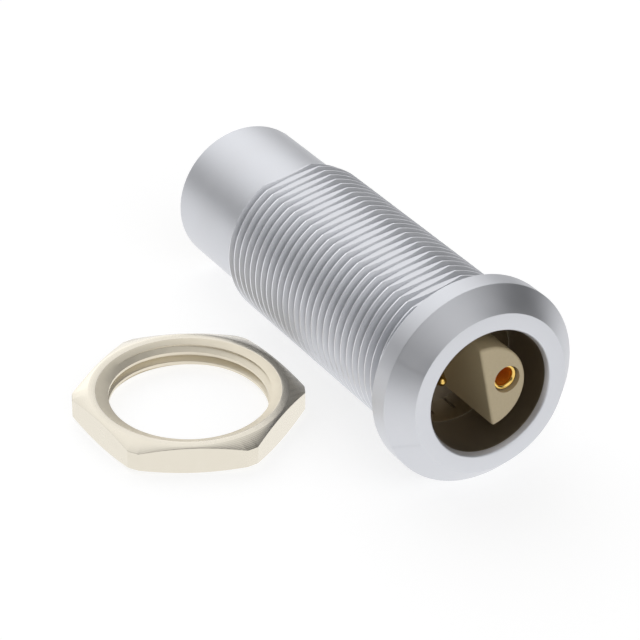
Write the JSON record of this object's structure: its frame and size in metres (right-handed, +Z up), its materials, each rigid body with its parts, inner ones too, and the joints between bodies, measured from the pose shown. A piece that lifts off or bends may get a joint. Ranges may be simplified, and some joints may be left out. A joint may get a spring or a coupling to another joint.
{
  "type": "panel-mount circular connector",
  "caption": "Push-in circular connector coupler: flanged threaded barrel with two flats, keyed half-moon inserts and a loose hex fixing nut beside it.",
  "frame": {"origin": "on the floor, under the centre of the whole part's plan", "axes": "+X towards the coupler's nose, +Z up, the nut lies on the -Y side"},
  "size_m": [0.0438, 0.0354, 0.0183],
  "materials": {
    "satin_chrome": "satin",
    "insert_plastic": "matte",
    "dark_nickel": "satin",
    "gold_plate": "polished",
    "bright_nickel": "polished"
  },
  "bodies": {
    "root": {"shell": "satin_chrome", "front_insert": "insert_plastic", "rear_insert": "insert_plastic", "clamp_ring": "dark_nickel", "front_crown": "dark_nickel", "rear_crown": "dark_nickel", "right_contact": "gold_plate", "left_contact": "gold_plate", "front_clip": "gold_plate", "rear_clip": "gold_plate", "hex_nut": "bright_nickel"}
  },
  "joints": []
}
